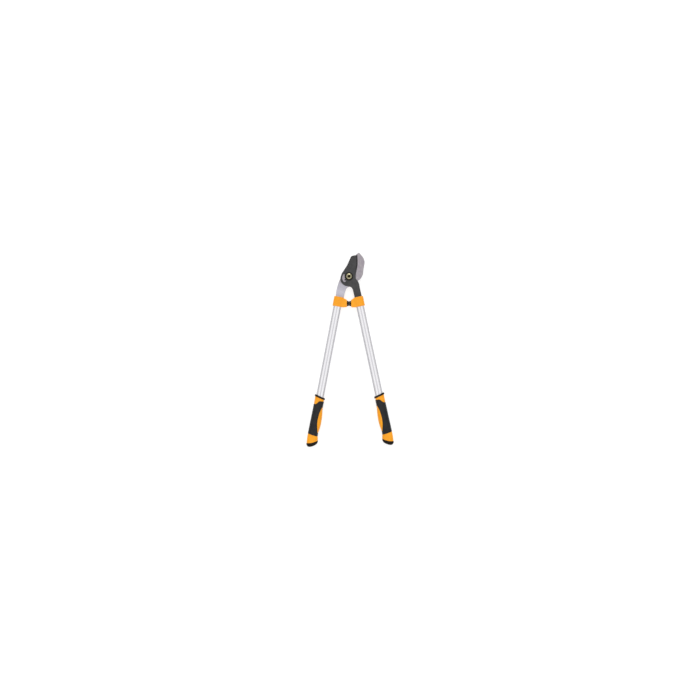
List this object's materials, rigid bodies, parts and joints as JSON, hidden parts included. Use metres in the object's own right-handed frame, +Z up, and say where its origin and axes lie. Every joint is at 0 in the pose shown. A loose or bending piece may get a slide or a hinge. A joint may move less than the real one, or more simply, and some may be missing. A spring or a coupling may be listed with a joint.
{
  "type": "bypass loppers",
  "caption": "Bypass loppers: a coated curved blade passes a silver hook on a bolted pivot; long oval aluminium handles with bumpers and soft grips.",
  "frame": {"origin": "on the pivot's axis, on the surface the tool lies on, at the middle of the pivot bolt's flat end", "axes": "+Z up from the surface it lies on, towards the blade's side; +Y towards the jaws' tips; +X towards the handle that carries the blade"},
  "size_m": [0.3193, 0.7101, 0.034],
  "materials": {
    "coated_blade": "dark low-friction coating on steel, satin",
    "hook_steel": "ground and nickel plated steel",
    "steel": "bright zinc plated steel",
    "bolt_zinc": "yellow zinc plated steel",
    "washer_black": "black oxide steel",
    "bronze": "sintered bronze",
    "aluminium": "drawn tube, clear anodised",
    "nylon": "moulded nylon",
    "orange": "moulded, satin to gloss",
    "soft_black": "soft moulded rubber, matt"
  },
  "bodies": {
    "hook_side": {"hook": "hook_steel", "tube_left": "aluminium", "tang_adapter_left": "nylon", "rivet_left_upper": "steel", "rivet_left_lower": "steel", "collar_left": "orange", "bumper_left": "soft_black", "collar_screw_left": "steel", "grip_ring_left": "soft_black", "grip_core_left": "orange", "grip_sleeve_left": "soft_black", "grip_cap_left": "soft_black", "pivot_bolt": "bolt_zinc", "pivot_washer_front": "washer_black", "pivot_bush": "bronze", "glide_washer": "nylon", "pivot_washer_back": "steel", "pivot_nut": "steel", "stop_pin": "steel"},
    "blade_side": {"blade": "coated_blade", "tube_right": "aluminium", "tang_adapter_right": "nylon", "rivet_right_upper": "steel", "rivet_right_lower": "steel", "collar_right": "orange", "bumper_right": "soft_black", "collar_screw_right": "steel", "grip_ring_right": "soft_black", "grip_core_right": "orange", "grip_sleeve_right": "soft_black", "grip_cap_right": "soft_black"}
  },
  "joints": [
    {"name": "jaw_pivot", "type": "hinge", "parent": "hook_side", "child": "blade_side", "pos_m": [0, 0, 0.017], "axis": [0, 0, 1], "range_deg": [0, 60]}
  ]
}
